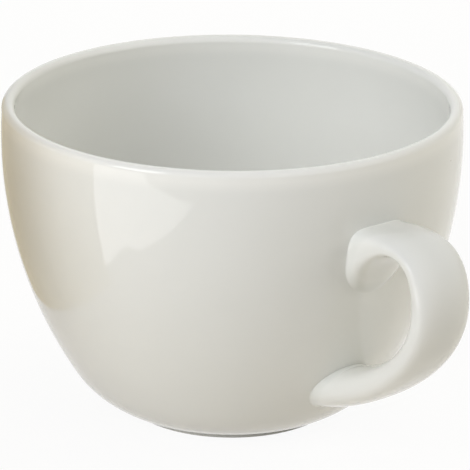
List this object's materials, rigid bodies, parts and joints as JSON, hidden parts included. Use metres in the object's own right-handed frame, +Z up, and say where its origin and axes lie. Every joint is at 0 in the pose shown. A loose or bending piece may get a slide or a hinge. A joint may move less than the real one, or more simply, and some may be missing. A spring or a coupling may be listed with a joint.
{
  "type": "tea cup",
  "caption": "Round glazed porcelain tea cup with a curved side, a full-round lip, a low foot ring and a strap handle, for hot drinks.",
  "frame": {"origin": "centre of the foot ring on the table, on the bowl's axis", "axes": "+Z up along the bowl's axis, +X towards the handle"},
  "size_m": [0.1164, 0.0954, 0.0664],
  "materials": {
    "glazed_bowl": "clear gloss glaze over warm white porcelain, bare at the foot ring",
    "glazed_handle": "clear gloss glaze over warm white porcelain",
    "glazed_slip": "fired porcelain slip under the same gloss glaze"
  },
  "bodies": {
    "root": {"bowl": "glazed_bowl", "handle": "glazed_handle", "upper_slip_joint": "glazed_slip", "lower_slip_joint": "glazed_slip"}
  },
  "joints": []
}
